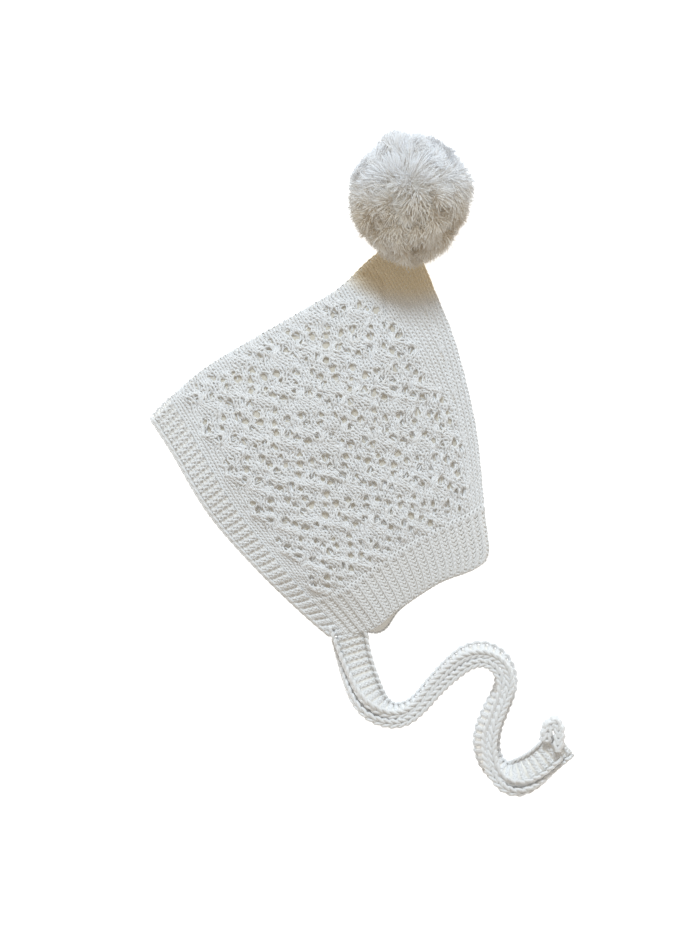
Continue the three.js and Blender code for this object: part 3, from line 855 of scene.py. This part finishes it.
for tieName, route in (("upper_tie", upperRoute), ("lower_tie", lowerRoute)):
    strap = Strap(route, tie["rootWidth"], tie["width"])
    core = tieCore(tieName + "_cloth", strap)
    if tieName == "upper_tie":
        knitting = tieYarn(Strap([upperSeat] + route, tie["rootWidth"], tie["width"])) + curledEnd()
    else:
        knitting = tieYarn(strap)
    stitches = yarnPiece(tieName + "_stitches", knitting)
    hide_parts(tieName)
    print(tieName, "length", round(strap.length, 1), "mm")

# pompom: tufts of cut strands round a core
pompom = dict(
    x=pompomShadowPatch["x"], y=pompomShadowPatch["y"], wide=68.6, long=76.9, tall=56.0, sunk=1.0,
    # the tufts: how many, how far they stray, and how their strands fan out and sweep over, in half sizes
    tufts=200, strands=152, points=4, stray=0.07, fan=0.135, rootShare=0.35, sweep=0.30,
    sweepWay=(0.7, 1.2), sweepMiddle=0.1, sweepNoise=0.26, sweepAbove=1.1, sweepBelow=0.55,
    # the ball: its reach, how uneven it is, a recess, a flatter shoulder and a narrower lower part
    root=0.62, bend=1.5, reach=0.965, tuftNoise=0.058, strandNoise=0.022, fanLoss=0.16, pointNoise=0.006,
    recess=dict(x=0.05, y=-0.28, wide=0.5, tall=0.30, deep=0.15),
    shoulder=dict(way=(-0.75, 0.66, 0.0), power=8, loss=0.06), taper=dict(start=0.1, over=0.8, loss=0.14),
    wisps=dict(way=(0.42, 0.90, 0.10), power=40, few=0.9, longer=0.22),
    # each strand: a narrow ribbon, mm, with its painted shade, and a painted warm shade on the ball's lower
    # part
    thick=0.44, thinning=0.6, twist=0.35, floor=0.5, uvStep=4.0,
    shade=0.75, shadeFall=0.85, shadeFan=0.5, shadeNoise=(-0.1, 0.22),
    shadeTint=dict(start=0.36, over=0.7, noise=0.08, tipLoss=0.55),
    core=dict(rings=24, around=36, share=0.78, pole=0.02, shade=0.8),
)
pompomHalf = np.array([pompom["wide"], pompom["long"], pompom["tall"]]) / 2
pompomCentre = np.array([pompom["x"], pompom["y"], pompom["tall"] / 2 - pompom["sunk"]])


def tuftHeads():
    # directions spread evenly over a ball, then strayed a little
    k = np.arange(pompom["tufts"]) + 0.5
    polar = np.arccos(1 - 2 * k / pompom["tufts"])
    turn = np.pi * (1 + 5 ** 0.5) * k
    heads = np.stack([np.cos(turn) * np.sin(polar), np.sin(turn) * np.sin(polar), np.cos(polar)], -1)
    return unit(heads + rng.normal(0, pompom["stray"], heads.shape))


def tuft(head, grow):
    # one tuft: its strands as ribbons whose flat side looks outwards, with their painted shade and painted
    # warm shade
    count = pompom["strands"]
    recess, shoulder, taper = pompom["recess"], pompom["shoulder"], pompom["taper"]
    wisps, shadeTint = pompom["wisps"], pompom["shadeTint"]
    sweep = np.array([head[0] * pompom["sweepWay"][0],
                      (head[1] - pompom["sweepMiddle"]) * pompom["sweepWay"][1], 0.0])
    sweep += rng.normal(0, pompom["sweepNoise"], 3)
    sweep *= pompom["sweepAbove"] if head[1] > 0 else pompom["sweepBelow"]
    sweep -= head * (sweep @ head)
    sunk = bump(head[0], recess["x"], recess["wide"]) * bump(head[1], recess["y"], recess["tall"])
    spread = rng.normal(0, pompom["fan"], (count, 3))
    wide = np.linalg.norm(spread, axis=1)
    tip = unit(head + spread + sweep * pompom["sweep"])
    root = unit(head + spread * pompom["rootShare"])
    size = 1 + rng.normal(0, pompom["tuftNoise"]) - recess["deep"] * sunk * (head[2] > 0)
    uneven = 1 + rng.normal(0, pompom["strandNoise"], count) - wide * pompom["fanLoss"]
    longer = max(0, head @ wisps["way"]) ** wisps["power"] * (rng.random(count) > wisps["few"])
    reach = pompom["reach"] * size * uneven * (1 + wisps["longer"] * longer)
    bent = grow ** pompom["bend"]
    out = unit(root[:, None] * (1 - bent) + tip[:, None] * bent)
    way = out * (pompom["root"] + (reach[:, None, None] - pompom["root"]) * np.sin(grow * np.pi / 2))
    way += rng.normal(0, pompom["pointNoise"], way.shape) * grow
    facing = np.maximum(0, way @ np.array(shoulder["way"])) ** shoulder["power"]
    way = way * (1 - shoulder["loss"] * facing[..., None])
    way[..., 0] *= 1 - taper["loss"] * smooth((-way[..., 1] - taper["start"]) / taper["over"])
    line = pompomCentre + way * pompomHalf
    line[..., 2] = np.maximum(line[..., 2], pompom["floor"])
    side = np.cross(np.gradient(line, axis=1), out + rng.normal(0, pompom["twist"], (count, 1, 3)))
    side /= np.maximum(np.linalg.norm(side, axis=2, keepdims=True), 1e-9)
    side *= pompom["thick"] / 2 * (1 - pompom["thinning"] * grow ** 2)
    # painted warm shade on the lower part of the ball, weaker at the strands' tips
    low = shadeTint["start"] - tip[:, 1] + shadeTint["noise"] * rng.normal(size=count)
    warmShade = smooth(low / shadeTint["over"])[:, None] * (1 - shadeTint["tipLoss"] * grow[..., 0] ** 2)
    # painted shade: darkest at the strands' roots inside the ball and on strands fanned out between tufts,
    # with a random part
    shade = pompom["shade"] - grow[..., 0] * pompom["shadeFall"] + wide[:, None] * pompom["shadeFan"]
    shade = np.clip(np.clip(shade, 0, 1) + rng.uniform(*pompom["shadeNoise"], (count, 1)), 0, 1)
    return np.stack([line - side, line + side], 2) * mm, shade, warmShade


def pompomTufts():
    grow = np.linspace(0, 1, pompom["points"])[None, :, None]
    tufts = [tuft(head, grow) for head in tuftHeads()]
    points, shade, warmShade = (np.concatenate(part) for part in zip(*tufts))
    strands, length = points.shape[:2]
    k = (np.arange(strands)[:, None] * length + np.arange(length - 1)).ravel() * 2
    faces = np.stack([k, k + 1, k + 3, k + 2], -1)
    along = np.broadcast_to(np.arange(length)[None, :, None] * pompom["uvStep"], points.shape[:3])
    across = np.broadcast_to(np.array([0.0, 1.0]), points.shape[:3])
    uv = np.stack([across, along], -1).reshape(-1, 2)
    painted = {"paintedShade": np.repeat(shade, 2), "warmShade": np.repeat(warmShade, 2)}
    made = meshFrom("pompom_strands", points.reshape(-1, 3), faces, painted, uv)
    made.data.materials.append(finishes["strand"])
    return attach(made, "root")


def pompomCore():
    core = pompom["core"]
    polar = np.linspace(core["pole"], np.pi - core["pole"], core["rings"])[:, None]
    turn = np.arange(core["around"])[None] / core["around"] * 2 * np.pi
    wide = np.sin(polar)
    ball = np.stack([wide * np.cos(turn), wide * np.sin(turn), np.cos(polar) + 0 * turn], -1)
    points = (ball * pompomHalf * core["share"] + pompomCentre).reshape(-1, 3) * mm
    faces = ringFaces(core["around"], core["rings"])
    # the core's colour is mostly painted shade, for the shaded inside of the ball
    return plainPiece("pompom_core", points, faces, core["shade"], "core")


pompomStrands = pompomTufts()
pompomHeart = pompomCore()
print("pompom made:", len(pompomStrands.data.polygons) * 2, "triangles")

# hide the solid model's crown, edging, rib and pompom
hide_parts("crown")
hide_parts("face_edging")
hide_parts("neck_rib")
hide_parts("pompom")

# a pale floor that shines a little, and soft light from a window
floorLook = dict(reach=3.0, under=-0.0005, colour=(0.93, 0.93, 0.93, 1), roughness=0.9, glow=0.75)
light = dict(ambient=0.46, ambientColour=(1.0, 0.90, 0.76), sun=2.2, sunColour=(0.78, 0.90, 1.0),
             sunSpread=16, sunTilt=47, sunTurn=3)


def makeStage():
    material = bpy.data.materials.new("paperFloor")
    material.use_nodes = True
    shader = material.node_tree.nodes["Principled BSDF"]
    shader.inputs["Base Color"].default_value = floorLook["colour"]
    shader.inputs["Roughness"].default_value = floorLook["roughness"]
    shader.inputs["Emission Color"].default_value = (1, 1, 1, 1)
    shader.inputs["Emission Strength"].default_value = floorLook["glow"]
    corner = [(x * floorLook["reach"], y * floorLook["reach"], floorLook["under"])
              for x, y in ((-1, -1), (1, -1), (1, 1), (-1, 1))]
    floor = meshFrom("floor", corner, [[0, 1, 2, 3]])
    floor.data.materials.append(material)


def makeLight():
    world = bpy.data.worlds.new("softRoom")
    bpy.context.scene.world = world
    world.use_nodes = True
    background = world.node_tree.nodes["Background"]
    background.inputs["Color"].default_value = (*light["ambientColour"], 1)
    background.inputs["Strength"].default_value = light["ambient"]
    lamp = bpy.data.lights.new("windowLight", "SUN")
    lamp.energy, lamp.color, lamp.angle = light["sun"], light["sunColour"], math.radians(light["sunSpread"])
    window = bpy.data.objects.new("windowLight", lamp)
    window.rotation_euler = (-math.radians(light["sunTilt"]), 0, math.radians(light["sunTurn"]))
    bpy.context.scene.collection.objects.link(window)


makeStage()
makeLight()
bpy.context.scene.view_settings.view_transform = "Standard"
